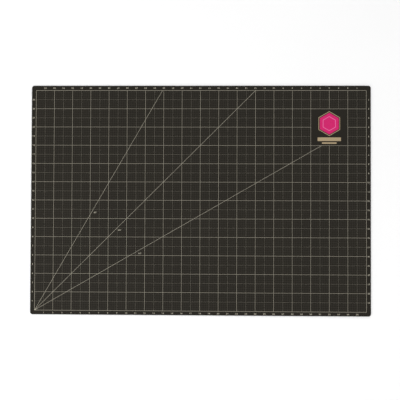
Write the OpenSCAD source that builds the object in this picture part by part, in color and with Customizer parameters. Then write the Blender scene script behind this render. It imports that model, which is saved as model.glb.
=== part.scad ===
// Self-healing cutting mat: a laminated plastic sheet with an inch grid printed on its working face.
// The mat lies flat. +X runs along its long side, +Y along its short side and +Z points up.
// The origin is at the centre of the underside.

/* [Grid] */
// Length of the printed grid, in inches
grid_x = 36; // [18:2:48]
// Width of the printed grid, in inches
grid_y = 24; // [12:2:36]
// Plain border beyond the short sides of the grid
border_x = 12.2; // [11:0.1:20]
// Plain border beyond the long sides of the grid
border_y = 12.4; // [11:0.1:20]
// How far the whole print sits off the middle of the sheet
print_shift_y = -0.8; // [-1:0.1:1]

/* [Sheet] */
// Thickness of each soft outer ply
skin_t = 1; // [0.6:0.1:1.5]
// Thickness of the stiff middle ply
core_t = 1; // [0.6:0.1:2]
// Radius of the sheet's corners
corner_r = 7; // [2:0.5:12]

/* [Ink] */
// Height of the printed ink above the sheet
ink_t = 0.05; // [0.03:0.01:0.2]
// Width of the rule that frames the grid
frame_w = 0.7; // [0.4:0.05:1]
// Width of the lines every two inches
heavy_w = 0.6; // [0.3:0.05:0.9]
// Width of the lines on the odd inches
light_w = 0.2; // [0.15:0.05:0.5]
// Width of the slanting angle lines
angle_w = 0.7; // [0.4:0.05:1]
// Height of the numerals along the edges
numeral_h = 4.1; // [2.5:0.1:4.5]
// Distance from the frame rule out to the middle of the numerals
numeral_out = 6.6; // [5:0.1:7]
// Height of the numerals beside the angle lines
label_h = 4.0; // [3:0.1:6]

/* [Badge] */
// Distance across the flats of the coloured hexagon
badge_flats = 52; // [30:1:56]
// Width of the line round the hexagon
badge_line = 1.6; // [0.8:0.1:3]

/* [Hidden] */
inch = 25.4;
span_x = grid_x * inch;
span_y = grid_y * inch;
sheet_x = span_x + 2 * border_x;
sheet_y = span_y + 2 * border_y;
face_z = 2 * skin_t + core_t;

// A square of the grid is left clear for the badge. Its sides lie on two-inch lines.
clear_size = 4;
clear_from_side = 2;
clear_lo = [grid_x - clear_from_side - clear_size, grid_y - clear_from_side - clear_size];
clear_hi = clear_lo + [clear_size, clear_size];

// The angle lines fan out from the grid's lower left corner, where a small quarter disc joins them.
// The disc is just wide enough that the lines have parted where they leave it.
ANGLES = [30, 45, 60];
fan_step = 15;
fan_spare = 1.2;
fan_r = fan_spare * angle_w / (2 * sin(fan_step / 2));
// Distance from that corner to each angle label, in inches, and the label's drop below its line
LABEL_ALONG = [13.0, 12.7, 12.5];
label_drop = 8.3;

// The numerals are drawn with a pen of constant width, in units of the pen's travel from foot to head.
// Four numbers are a straight stroke [x1, y1, x2, y2], five are an arc [x, y, radius, from, to], and
// two are a round end or joint [x, y].
// half is half a numeral's width along the pen's path, and tail is the radius of the 6's and 9's tails.
half = 0.31;
tail = 0.72;
function rim(x, y, r, t) = [x + r * cos(t), y + r * sin(t)];
GLYPHS = [
    [[half, 1 - half, half, 0, 180], [half, half, half, 180, 360],
     [0, half, 0, 1 - half], [2 * half, half, 2 * half, 1 - half]],
    [[0.4, 0, 0.4, 1], [0.14, 0.8, 0.4, 1], [0.4, 0], [0.4, 1], [0.14, 0.8]],
    [[half, 1 - half, half, -30, 170], concat(rim(half, 1 - half, half, -30), [0, 0]), [0, 0, 0.62, 0],
     rim(half, 1 - half, half, 170), rim(half, 1 - half, half, -30), [0, 0], [0.62, 0]],
    [[half, 0.75, 0.25, -90, 150], [half, 0.25, 0.25, -150, 90], [0.2, 0.5, half, 0.5],
     rim(half, 0.75, 0.25, 150), rim(half, 0.25, 0.25, -150), [0.2, 0.5]],
    [[0.46, 0, 0.46, 1], [0.46, 1, -0.04, 0.27], [-0.04, 0.27, 0.68, 0.27],
     [0.46, 0], [0.46, 1], [-0.04, 0.27], [0.68, 0.27]],
    [[half, half, half, -140, 130], concat(rim(half, half, half, 130), [0.1, 1]), [0.1, 1, 0.56, 1],
     rim(half, half, half, -140), rim(half, half, half, 130), [0.1, 1], [0.56, 1]],
    [[half, half, half, 0, 360], [tail, half, tail, 112, 180], rim(tail, half, tail, 112)],
    [[0, 1, 0.62, 1], [0.62, 1, 0.2, 0], [0, 1], [0.62, 1], [0.2, 0]],
    [[half, 0.77, 0.23, 0, 360], [half, 0.27, 0.27, 0, 360]],
    [[half, 1 - half, half, 0, 360], [2 * half - tail, 1 - half, tail, -68, 0],
     rim(2 * half - tail, 1 - half, tail, -68)]
];
pen_ratio = 0.2;
glyph_w = 2 * half * (1 - pen_ratio) + pen_ratio;
glyph_gap = 0.2;
// The degree ring: its middle radius, its line and its height above the numeral's middle, and then its
// distance from the middle of the two digits, all as shares of the numeral's height
ring_r = 0.15;
ring_pen = 0.12;
ring_up = 0.29;
ring_out = glyph_w + 1.3 * glyph_gap + ring_r + ring_pen / 2;

// The badge is a coloured hexagon with a pale outline inlaid, inside a rim that stands clear by a gap.
badge_gap = 2;
badge_lift = 10;
inset_share = 0.62;
inset_flats = inset_share * badge_flats;
rim_flats = badge_flats + 2 * badge_gap;
rim_foot = (rim_flats + 2 * badge_line) / sqrt(3);
// Two plain bars lie below the rim's foot: each one's width, height and drop from the foot
BARS = [[64, 10, 4], [40, 4, 17.5]];

$fn = 48;

// ---- helpers -----------------------------------------------------------------------------------

// Places its children in the grid's own frame: on the top ply, from the lower left grid corner
module on_grid() {
    translate([-span_x / 2, -span_y / 2 + print_shift_y, face_z]) children();
}

module ply(z, t) {
    ix = sheet_x - 2 * corner_r;
    iy = sheet_y - 2 * corner_r;
    translate([-sheet_x / 2, -sheet_y / 2, z]) union() {
        translate([corner_r, 0, 0]) cube([ix, sheet_y, t]);
        translate([0, corner_r, 0]) cube([sheet_x, iy, t]);
        for (x = [corner_r, corner_r + ix], y = [corner_r, corner_r + iy])
            translate([x, y, 0]) cylinder(r = corner_r, h = t);
    }
}

// A line across the grid at a number of inches, from edge to edge inside the frame rule
module upright(at, w) {
    translate([at * inch - w / 2, frame_w / 2, 0]) cube([w, span_y - frame_w, ink_t]);
}

module level(at, w) {
    translate([frame_w / 2, at * inch - w / 2, 0]) cube([span_x - frame_w, w, ink_t]);
}

// The clear square, less half the width of the lines that bound it
module clear_square() {
    side = clear_size * inch - heavy_w;
    translate([clear_lo.x * inch + heavy_w / 2, clear_lo.y * inch + heavy_w / 2, -ink_t])
        cube([side, side, 3 * ink_t]);
}

function in_clear(x, y) = x > clear_lo.x && x < clear_hi.x && y > clear_lo.y && y < clear_hi.y;

// How far an angle line runs, in inches: to the far side of the grid, or to the clear square
function reach(a) =
    clear_lo.y / tan(a) >= clear_lo.x && clear_lo.y / tan(a) <= clear_hi.x ? clear_lo.y / sin(a)
    : clear_lo.x * tan(a) >= clear_lo.y && clear_lo.x * tan(a) <= clear_hi.y ? clear_lo.x / cos(a)
    : min(grid_x / cos(a), grid_y / sin(a));

// The run of an angle line, cut to the inside of the frame rule and of the lines round the badge
module angle_run(a, h) {
    difference() {
        intersection() {
            rotate([0, 0, a]) translate([0, -angle_w / 2, 0]) cube([reach(a) * inch, angle_w, h]);
            translate([frame_w / 2, frame_w / 2, 0]) cube([span_x - frame_w, span_y - frame_w, h]);
        }
        translate([0, 0, -h]) cylinder(r = fan_r, h = 3 * h);
    }
}

// Everything of the fan, taken out of the grid lines that it crosses
module fan_cut() {
    translate([0, 0, -ink_t]) {
        for (a = ANGLES) angle_run(a, 3 * ink_t);
        cylinder(r = fan_r, h = 3 * ink_t);
    }
}

module stroke(s, em, pen) {
    translate([s[0] * em, s[1] * em, 0]) {
        if (len(s) == 2) {
            cylinder(r = pen / 2, h = ink_t);
        } else if (len(s) == 4) {
            run = [s[2] - s[0], s[3] - s[1]] * em;
            rotate([0, 0, atan2(run.y, run.x)]) translate([0, -pen / 2, 0]) cube([norm(run), pen, ink_t]);
        } else {
            rotate([0, 0, s[3]]) rotate_extrude(angle = s[4] - s[3])
                translate([s[2] * em - pen / 2, 0]) square([pen, ink_t]);
        }
    }
}

// A whole number of height h, centred on the origin and read with +Y upwards
module numeral(n, h) {
    pen = pen_ratio * h;
    em = h - pen;
    digits = n < 10 ? [n] : [floor(n / 10), n % 10];
    step = (glyph_w + glyph_gap) * h;
    for (i = [0 : len(digits) - 1])
        translate([(i - (len(digits) - 1) / 2) * step - half * em, -em / 2, 0])
            for (s = GLYPHS[digits[i]]) stroke(s, em, pen);
}

// The degree ring to the right of a numeral of height h
module degree_ring(h) {
    translate([ring_out * h, ring_up * h, 0]) difference() {
        cylinder(r = (ring_r + ring_pen / 2) * h, h = ink_t);
        translate([0, 0, -ink_t]) cylinder(r = (ring_r - ring_pen / 2) * h, h = 3 * ink_t);
    }
}

module hexagon(flats, h) {
    rotate([0, 0, 30]) cylinder(r = flats / sqrt(3), h = h, $fn = 6);
}

// A hexagonal band of ink, from one distance across the flats out to a line's width more on each side
module hexagon_band(inner) {
    difference() {
        hexagon(inner + 2 * badge_line, ink_t);
        translate([0, 0, -ink_t]) hexagon(inner, 3 * ink_t);
    }
}

module on_badge() {
    middle = (clear_lo + clear_hi) / 2 * inch;
    on_grid() translate([middle.x, middle.y + badge_lift, 0]) children();
}

module angle_line(a) {
    color("tan") on_grid() angle_run(a, ink_t);
}

module angle_label(i) {
    a = ANGLES[i];
    at = [cos(a), sin(a)] * LABEL_ALONG[i] * inch + [sin(a), -cos(a)] * label_drop;
    color("tan") on_grid() translate([at.x, at.y, 0]) {
        numeral(a, label_h);
        degree_ring(label_h);
    }
}

// ---- sub-parts ---------------------------------------------------------------------------------

module bottom_ply() {
    color("dimgray") ply(0, skin_t);
}

module core_ply() {
    color("black") ply(skin_t, core_t);
}

module top_ply() {
    color("dimgray") ply(skin_t + core_t, skin_t);
}

module frame_rule() {
    w = frame_w;
    color("tan") on_grid() difference() {
        translate([-w / 2, -w / 2, 0]) cube([span_x + w, span_y + w, ink_t]);
        translate([w / 2, w / 2, -ink_t]) cube([span_x - w, span_y - w, 3 * ink_t]);
        fan_cut();
    }
}

module two_inch_lines() {
    color("tan") on_grid() difference() {
        union() {
            for (i = [2 : 2 : grid_x - 2]) upright(i, heavy_w);
            for (j = [2 : 2 : grid_y - 2]) level(j, heavy_w);
        }
        clear_square();
        fan_cut();
    }
}

// A light cross in each two-inch cell, whose arms stop at the heavier lines round it
module one_inch_lines() {
    color("tan") on_grid() difference() {
        for (i = [1 : 2 : grid_x - 1], j = [1 : 2 : grid_y - 1]) if (!in_clear(i, j)) {
            lo = [i == 1 ? frame_w / 2 : heavy_w / 2, j == 1 ? frame_w / 2 : heavy_w / 2];
            hi = [i == grid_x - 1 ? frame_w / 2 : heavy_w / 2, j == grid_y - 1 ? frame_w / 2 : heavy_w / 2];
            x0 = (i - 1) * inch + lo.x;
            x1 = (i + 1) * inch - hi.x;
            y0 = (j - 1) * inch + lo.y;
            y1 = (j + 1) * inch - hi.y;
            translate([x0, j * inch - light_w / 2, 0]) cube([x1 - x0, light_w, ink_t]);
            translate([i * inch - light_w / 2, y0, 0]) cube([light_w, y1 - y0, ink_t]);
        }
        fan_cut();
    }
}

// The quarter disc where the angle lines and the frame rule meet
module origin_mark() {
    color("tan") on_grid() intersection() {
        cylinder(r = fan_r, h = ink_t);
        translate([-frame_w / 2, -frame_w / 2, -ink_t]) cube([2 * fan_r, 2 * fan_r, 3 * ink_t]);
    }
}

module angle_line_30() { angle_line(30); }
module angle_line_45() { angle_line(45); }
module angle_line_60() { angle_line(60); }
module angle_label_30() { angle_label(0); }
module angle_label_45() { angle_label(1); }
module angle_label_60() { angle_label(2); }

// The numerals along two adjoining sides read one way up, and those opposite the other way up
module numerals_bottom() {
    color("tan") on_grid() for (i = [1 : grid_x - 1])
        translate([i * inch, -numeral_out, 0]) numeral(i, numeral_h);
}

module numerals_left() {
    color("tan") on_grid() for (i = [1 : grid_y - 1])
        translate([-numeral_out, i * inch, 0]) numeral(i, numeral_h);
}

module numerals_top() {
    color("tan") on_grid() for (i = [1 : grid_x - 1])
        translate([span_x - i * inch, span_y + numeral_out, 0]) rotate([0, 0, 180]) numeral(i, numeral_h);
}

module numerals_right() {
    color("tan") on_grid() for (i = [1 : grid_y - 1])
        translate([span_x + numeral_out, span_y - i * inch, 0]) rotate([0, 0, 180]) numeral(i, numeral_h);
}

module badge_field() {
    color("mediumvioletred") on_badge() difference() {
        hexagon(badge_flats, ink_t);
        translate([0, 0, -ink_t]) hexagon(inset_flats + 2 * badge_line, 3 * ink_t);
    }
    color("mediumvioletred") on_badge() hexagon(inset_flats, ink_t);
}

module badge_inset() {
    color("pink") on_badge() hexagon_band(inset_flats);
}

module badge_rim() {
    color("tan") on_badge() hexagon_band(rim_flats);
}

module badge_bars() {
    color("tan") on_badge() for (b = BARS)
        translate([-b[0] / 2, -rim_foot - b[2] - b[1], 0]) cube([b[0], b[1], ink_t]);
}

bottom_ply();
core_ply();
top_ply();
frame_rule();
two_inch_lines();
one_inch_lines();
origin_mark();
angle_line_30();
angle_line_45();
angle_line_60();
angle_label_30();
angle_label_45();
angle_label_60();
numerals_bottom();
numerals_right();
numerals_top();
numerals_left();
badge_field();
badge_inset();
badge_rim();
badge_bars();
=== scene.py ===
import math

import bmesh
import bpy
from mathutils import Matrix, Vector


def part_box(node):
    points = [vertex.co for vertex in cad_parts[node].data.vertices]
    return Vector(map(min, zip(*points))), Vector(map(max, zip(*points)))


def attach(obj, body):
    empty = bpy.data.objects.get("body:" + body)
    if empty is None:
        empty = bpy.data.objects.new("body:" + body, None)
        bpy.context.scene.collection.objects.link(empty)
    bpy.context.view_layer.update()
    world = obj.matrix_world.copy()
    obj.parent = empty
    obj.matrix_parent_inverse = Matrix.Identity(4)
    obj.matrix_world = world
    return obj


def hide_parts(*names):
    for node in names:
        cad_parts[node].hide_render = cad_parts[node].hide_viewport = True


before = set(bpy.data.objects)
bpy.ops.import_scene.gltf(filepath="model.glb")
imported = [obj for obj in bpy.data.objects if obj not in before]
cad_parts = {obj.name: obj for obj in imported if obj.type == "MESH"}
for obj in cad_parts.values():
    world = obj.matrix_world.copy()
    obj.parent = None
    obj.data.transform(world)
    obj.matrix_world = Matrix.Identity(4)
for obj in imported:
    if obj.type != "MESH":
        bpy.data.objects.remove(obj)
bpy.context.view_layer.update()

# ---- sizes, in metres -----------------------------------------------------------------------------
INCH = 0.0254
MM = 0.001

CORNER_STEPS = 24          # points along each rounded corner of the sheet
EDGE_ROUND = 0.16 * MM     # how far the cut edge of each ply is rounded over
EDGE_STEPS = 3
CORE_SETBACK = 0.06 * MM   # the stiff core is cut a hair short of the soft plies

HAIR_W = 0.26 * MM         # quarter-inch lines
HAIR_T = 0.02 * MM
HAIR_TOP = 0.7             # share of the width left at the top of a line of ink
LOW_SHARE = 0.8            # hairlines along X are this share as high, so crossings don't share a face
HAIRS_PER_INCH = 4

TOUCHING = 0.01 * MM       # points this near the far edge count as on it

# The clear square round the badge, in inches from the right and far sides of the grid
CLEAR_NEAR, CLEAR_FAR = 2, 6


def node_mesh(name):
    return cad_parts[name].data


sheet_lo, sheet_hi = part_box("top_ply")
rule_lo, rule_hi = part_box("frame_rule")
grid_x = round((rule_hi.x - rule_lo.x) / INCH)
grid_y = round((rule_hi.y - rule_lo.y) / INCH)
rule_w = (rule_hi.x - rule_lo.x) - grid_x * INCH
grid_lo = Vector((rule_lo.x + rule_w / 2, rule_lo.y + rule_w / 2))
grid_hi = Vector((rule_hi.x - rule_w / 2, rule_hi.y - rule_w / 2))
face_z = sheet_hi.z
straight_end = max(v.co.x for v in node_mesh("top_ply").vertices if v.co.y > sheet_hi.y - TOUCHING)
corner_r = sheet_hi.x - straight_end


# ---- materials ------------------------------------------------------------------------------------
NOISE_LOW, NOISE_HIGH = 0.3, 0.7   # noise seldom leaves this span
DRIFT_SIZE = 160 * MM              # slow change of tone over the sheet
MOTTLE_SIZE = 2.2 * MM
PEBBLE_SIZE, PEBBLE_DEPTH = 0.75 * MM, 0.09 * MM
FINE_GRAIN_SIZE, FINE_GRAIN_DEPTH = 0.22 * MM, 0.02 * MM
KNIFE_MARK_SIZE, KNIFE_MARK_DEPTH = 0.35 * MM, 0.03 * MM
KNIFE_STRETCH = 0.15               # the marks run up the cut edge
FILM_SIZE, FILM_DEPTH = 0.5 * MM, 0.015 * MM
PINHOLE_SIZE = 0.13 * MM
PINHOLE_LOW, PINHOLE_HIGH = 0.60, 0.68   # only the peaks of the noise open the ink
SKIN_SHINE, CORE_SHINE, INK_SHINE = 0.15, 0.35, 0.3


class Nodes:
    """A short way to build a node tree: add() makes a node, sets its inputs and returns it."""

    def __init__(self, name):
        self.material = bpy.data.materials.new(name)
        self.material.use_nodes = True
        self.tree = self.material.node_tree
        self.shader = self.tree.nodes["Principled BSDF"]
        self.place = self.add("ShaderNodeTexCoord").outputs["Object"]

    def add(self, kind, settings=None, **inputs):
        node = self.tree.nodes.new(kind)
        for key, value in (settings or {}).items():
            setattr(node, key, value)
        for key, value in inputs.items():
            self.set(node, key.replace("_", " "), value)
        return node

    def set(self, node, key, value):
        socket = node.inputs[int(key)] if key.isdigit() else node.inputs[key]
        if isinstance(value, bpy.types.NodeSocket):
            self.tree.links.new(value, socket)
        else:
            socket.default_value = value

    def noise(self, size, detail=3.0, roughness=0.5):
        """Soft noise whose features are about this size in metres"""
        node = self.add("ShaderNodeTexNoise", Vector=self.place, Scale=1 / size, Detail=detail,
                        Roughness=roughness)
        return node.outputs["Fac"]

    def ramp(self, fac, *stops):
        node = self.add("ShaderNodeValToRGB", Fac=fac)
        points = node.color_ramp.elements
        while len(points) < len(stops):
            points.new(0.5)
        for point, (at, colour) in zip(points, stops):
            point.position = at
            point.color = (*colour, 1) if len(colour) == 3 else colour
        return node.outputs["Color"]

    def spread(self, fac, low, high):
        """Maps noise from its usual span onto a range of values"""
        return self.map_range(fac, NOISE_LOW, NOISE_HIGH, low, high)

    def map_range(self, value, *limits):
        node = self.add("ShaderNodeMapRange", Value=value)
        for key, limit in zip(("From Min", "From Max", "To Min", "To Max"), limits):
            node.inputs[key].default_value = limit
        return node.outputs["Result"]

    def blend(self, fac, a, b, mode="MIX"):
        node = self.add("ShaderNodeMix", {"data_type": "RGBA", "blend_type": mode})
        self.set(node, "0", fac)
        self.set(node, "6", a)
        self.set(node, "7", b)
        return node.outputs[2]

    def bump(self, height, depth, strength=1.0, normal=None):
        node = self.add("ShaderNodeBump", Height=height, Distance=depth, Strength=strength)
        if normal is not None:
            self.set(node, "Normal", normal)
        return node.outputs["Normal"]

    def finish(self, colour, roughness, normal, specular):
        self.set(self.shader, "Base Color", colour)
        self.set(self.shader, "Roughness", roughness)
        self.set(self.shader, "Normal", normal)
        self.shader.inputs["Specular IOR Level"].default_value = specular
        return self.material


def shade(colour, amount):
    return tuple(channel * amount for channel in colour)


def pebbled_pvc(name, colour, specular):
    """Soft PVC: a fine pebble grain over a slow drift of tone"""
    n = Nodes(name)
    drift = n.noise(DRIFT_SIZE, 2.0)
    mottle = n.noise(MOTTLE_SIZE, 4.0, 0.6)
    tone = n.ramp(drift, (NOISE_LOW, shade(colour, 0.93)), (NOISE_HIGH, shade(colour, 1.07)))
    grain = n.ramp(mottle, (0.32, (0.8, 0.8, 0.8)), (0.68, (1.0, 1.0, 1.0)))
    cells = n.add("ShaderNodeTexVoronoi", {"feature": "SMOOTH_F1"}, Vector=n.place,
                  Scale=1 / PEBBLE_SIZE)
    pebble = n.bump(cells.outputs["Distance"], PEBBLE_DEPTH, 0.45)
    normal = n.bump(n.noise(FINE_GRAIN_SIZE, 2.0), FINE_GRAIN_DEPTH, 0.5, pebble)
    body = n.blend(1.0, tone, grain, "MULTIPLY")
    return n.finish(body, n.spread(mottle, 0.52, 0.66), normal, specular)


def stiff_core(name, colour):
    """Stiff PVC seen only at the cut edge, with the fine drag marks of the knife"""
    n = Nodes(name)
    stretch = n.add("ShaderNodeMapping", Vector=n.place)
    stretch.inputs["Scale"].default_value = (1.0, 1.0, KNIFE_STRETCH)
    marks = n.add("ShaderNodeTexNoise", Vector=stretch.outputs["Vector"],
                  Scale=1 / KNIFE_MARK_SIZE, Detail=3.0).outputs["Fac"]
    tone = n.ramp(marks, (0.35, shade(colour, 0.7)), (0.65, shade(colour, 1.3)))
    normal = n.bump(marks, KNIFE_MARK_DEPTH, 0.5)
    return n.finish(tone, n.spread(marks, 0.45, 0.6), normal, CORE_SHINE)


def printed_ink(name, colour, under, wear):
    """Screen-printed ink: tiny pinholes let a share of the sheet's colour through"""
    n = Nodes(name)
    film = n.noise(FILM_SIZE, 3.0, 0.6)
    tone = n.ramp(film, (NOISE_LOW, shade(colour, 0.94)), (NOISE_HIGH, shade(colour, 1.05)))
    holes = n.noise(PINHOLE_SIZE, 2.0, 0.7)
    open_ink = n.map_range(holes, PINHOLE_LOW, PINHOLE_HIGH, 0.0, wear)
    body = n.blend(open_ink, tone, (*under, 1))
    return n.finish(body, n.spread(film, 0.5, 0.62), n.bump(film, FILM_DEPTH, 0.4), INK_SHINE)


# Colours are linear
PVC = (0.0134, 0.0111, 0.0069)
CORE = (0.006, 0.006, 0.0065)
INK = (0.358, 0.332, 0.262)
FINE_INK_SHARE = 0.86      # the light inch lines are printed a little darker
HAIR_INK = (0.046, 0.040, 0.030)
TAN = (0.36, 0.275, 0.160)
MAGENTA = (0.57, 0.004, 0.125)
PINK = (0.72, 0.14, 0.34)

# How much of what lies under the ink its pinholes show: thin lines most, solid areas least
LINE_WEAR, BADGE_WEAR, FIELD_WEAR = 0.5, 0.3, 0.25

skin = pebbled_pvc("pebbled_pvc", PVC, SKIN_SHINE)
core = stiff_core("stiff_core", CORE)
ink = printed_ink("grid_ink", INK, PVC, LINE_WEAR)
fine_ink = printed_ink("fine_line_ink", shade(INK, FINE_INK_SHARE), PVC, LINE_WEAR)
hair_ink = printed_ink("hairline_ink", HAIR_INK, PVC, LINE_WEAR)
tan_ink = printed_ink("tan_ink", TAN, PVC, BADGE_WEAR)
magenta_ink = printed_ink("magenta_ink", MAGENTA, PVC, FIELD_WEAR)
pink_ink = printed_ink("pink_ink", PINK, MAGENTA, BADGE_WEAR)


# ---- mesh helpers ---------------------------------------------------------------------------------
def new_piece(name, mesh_maker, material, replaced=()):
    """Makes a piece from a bmesh, gives it its material, and rides it on the mat"""
    bm = bmesh.new()
    mesh_maker(bm)
    bmesh.ops.recalc_face_normals(bm, faces=bm.faces)
    mesh = bpy.data.meshes.new(name)
    bm.to_mesh(mesh)
    bm.free()
    mesh.materials.append(material)
    piece = bpy.data.objects.new(name, mesh)
    bpy.context.scene.collection.objects.link(piece)
    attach(piece, "root")
    if replaced:
        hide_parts(*replaced)


def rounded_outline(inset):
    """The sheet's outline, drawn in by an inset, anticlockwise"""
    r = corner_r - inset
    left, right = sheet_lo.x + corner_r, sheet_hi.x - corner_r
    near, far = sheet_lo.y + corner_r, sheet_hi.y - corner_r
    centres = [(right, far, 0), (left, far, 90), (left, near, 180), (right, near, 270)]
    for x, y, start in centres:
        for k in range(CORNER_STEPS + 1):
            a = math.radians(start + 90 * k / CORNER_STEPS)
            yield x + r * math.cos(a), y + r * math.sin(a)


def slab(node, setback=0.0):
    """A mesh maker for one ply, with its cut edge rounded over top and bottom"""
    lo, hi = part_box(node)

    def make(bm):
        profile = []
        for k in range(EDGE_STEPS + 1):
            a = math.pi / 2 * k / EDGE_STEPS
            profile.append((EDGE_ROUND * (1 - math.sin(a)), lo.z + EDGE_ROUND * (1 - math.cos(a))))
        profile += [(inset, lo.z + hi.z - z) for inset, z in reversed(profile)]
        rings = [[bm.verts.new((x, y, z)) for x, y in rounded_outline(setback + inset)]
                 for inset, z in profile]
        count = len(rings[0])
        for below, above in zip(rings, rings[1:]):
            for k in range(count):
                after = (k + 1) % count
                face = bm.faces.new((below[k], below[after], above[after], above[k]))
                face.smooth = True
        bm.faces.new(rings[-1])
        bm.faces.new(list(reversed(rings[0])))
    return make


def ink_strip(bm, lo, hi, z, height):
    """A low bar of ink with sloping sides, from one corner to the other"""
    slope = min(hi[0] - lo[0], hi[1] - lo[1]) * (1 - HAIR_TOP) / 2
    corners = []
    for level, s in ((z, 0.0), (z + height, slope)):
        left, near, right, far = lo[0] + s, lo[1] + s, hi[0] - s, hi[1] - s
        corners.append([bm.verts.new((x, y, level))
                        for x, y in ((left, near), (right, near), (right, far), (left, far))])
    foot, head = corners
    bm.faces.new(head)
    bm.faces.new(list(reversed(foot)))
    for k in range(4):
        bm.faces.new((foot[k], foot[(k + 1) % 4], head[(k + 1) % 4], head[k]))


# ---- the sheet ------------------------------------------------------------------------------------
new_piece("bottom_skin", slab("bottom_ply"), skin, ["bottom_ply"])
new_piece("core_sheet", slab("core_ply", CORE_SETBACK), core, ["core_ply"])
new_piece("top_skin", slab("top_ply"), skin, ["top_ply"])


# ---- the print ------------------------------------------------------------------------------------
def quarter_inch_lines(bm):
    """Hairlines on every quarter inch that has no heavier line, broken at the clear square"""
    clear_lo = Vector((grid_hi.x - CLEAR_FAR * INCH, grid_hi.y - CLEAR_FAR * INCH))
    clear_hi = Vector((grid_hi.x - CLEAR_NEAR * INCH, grid_hi.y - CLEAR_NEAR * INCH))

    def runs(at, axis):
        start, stop = grid_lo[axis] + rule_w / 2, grid_hi[axis] - rule_w / 2
        if clear_lo[1 - axis] < at < clear_hi[1 - axis]:
            return [(start, clear_lo[axis]), (clear_hi[axis], stop)]
        return [(start, stop)]

    for axis, inches in ((1, grid_x), (0, grid_y)):
        across = 1 - axis
        for k in range(1, inches * HAIRS_PER_INCH):
            if k % HAIRS_PER_INCH == 0:
                continue
            at = grid_lo[across] + k * INCH / HAIRS_PER_INCH
            for start, stop in runs(at, axis):
                lo, hi = [0, 0], [0, 0]
                lo[axis], hi[axis] = start, stop
                lo[across], hi[across] = at - HAIR_W / 2, at + HAIR_W / 2
                ink_strip(bm, lo, hi, face_z, HAIR_T * (1.0 if axis else LOW_SHARE))


new_piece("quarter_inch_lines", quarter_inch_lines, hair_ink)

# Nodes of the frame that keep their shape, by the ink they are printed in
KEPT = {
    ink: ["frame_rule", "two_inch_lines", "origin_mark", "angle_line_30", "angle_line_45", "angle_line_60",
          "angle_label_30", "angle_label_45", "angle_label_60",
          "numerals_bottom", "numerals_right", "numerals_top", "numerals_left"],
    fine_ink: ["one_inch_lines"],
    tan_ink: ["badge_rim", "badge_bars"],
    magenta_ink: ["badge_field"],
    pink_ink: ["badge_inset"],
}
for material, names in KEPT.items():
    for name in names:
        mesh = node_mesh(name)
        mesh.materials.clear()
        mesh.materials.append(material)


# ---- floor, light and camera ----------------------------------------------------------------------
FLOOR_SIZE = 200           # wide enough to reach the horizon from a low camera
FLOOR_TONES = 0.90, 0.92
FLOOR_DRIFT, FLOOR_MOTTLE, FLOOR_GRAIN = 0.5, 0.02, 0.01   # sizes of its noise, in metres
FLOOR_BUMP = 0.02 * MM
FLOOR_SHINE = 0.2
WORLD_STRENGTH = 0.56
LIGHT_HEIGHT = 42          # degrees above the floor, for every lamp
BOX_DISTANCE, BOX_SIZE, BOX_POWER = 2.2, 2.0, 19   # metres, metres and watts
SUN_STRENGTH, SUN_SOFTNESS = 0.90, 60              # watts per square metre, and degrees across


def make_floor():
    n = Nodes("studio_floor")
    dark, pale = ((level,) * 3 for level in FLOOR_TONES)
    tone = n.ramp(n.noise(FLOOR_DRIFT, 2.0), (NOISE_LOW, dark), (NOISE_HIGH, pale))
    roughness = n.spread(n.noise(FLOOR_MOTTLE), 0.75, 0.85)
    material = n.finish(tone, roughness, n.bump(n.noise(FLOOR_GRAIN), FLOOR_BUMP, 0.1), FLOOR_SHINE)
    bpy.ops.mesh.primitive_plane_add(size=FLOOR_SIZE)
    floor = bpy.context.object
    floor.name = "floor"
    floor.data.materials.append(material)


def soft_sun(name, azimuth):
    """A far, very soft light that comes from a compass direction, as a large softbox would"""
    lamp = bpy.data.lights.new(name, "SUN")
    lamp.energy = SUN_STRENGTH
    lamp.angle = math.radians(SUN_SOFTNESS)
    holder = bpy.data.objects.new(name, lamp)
    holder.rotation_euler = (math.radians(90 - LIGHT_HEIGHT), 0, math.radians(azimuth))
    bpy.context.scene.collection.objects.link(holder)


def soft_box(name, azimuth):
    """A large square light near the mat, so that the side next to it is a little brighter"""
    lamp = bpy.data.lights.new(name, "AREA")
    lamp.energy = BOX_POWER
    lamp.size = BOX_SIZE
    holder = bpy.data.objects.new(name, lamp)
    compass = Matrix.Rotation(math.radians(azimuth), 4, "Z")
    tilt = Matrix.Rotation(math.radians(90 - LIGHT_HEIGHT), 4, "X")
    holder.matrix_world = compass @ tilt @ Matrix.Translation((0, 0, BOX_DISTANCE))
    holder.visible_camera = False
    bpy.context.scene.collection.objects.link(holder)


make_floor()
soft_box("key", -55)
soft_sun("fill_right", 50)
soft_sun("fill_far", 180)

world = bpy.data.worlds.new("studio")
world.use_nodes = True
world.node_tree.nodes["Background"].inputs["Color"].default_value = (1, 1, 1, 1)
world.node_tree.nodes["Background"].inputs["Strength"].default_value = WORLD_STRENGTH
scene = bpy.context.scene
scene.world = world
scene.view_settings.view_transform = "Standard"

# The camera looks down from almost straight above, a hand's width off the middle of the mat
CAMERA_LENS = 70           # millimetres
CAMERA_AT = (0.053, -0.050, 2.15)
CAMERA_TURN = (1.353, 1.412, 0.228)   # degrees
camera = bpy.data.objects.new("camera", bpy.data.cameras.new("camera"))
camera.data.lens = CAMERA_LENS
camera.location = CAMERA_AT
camera.rotation_euler = [math.radians(a) for a in CAMERA_TURN]
scene.collection.objects.link(camera)
scene.camera = camera
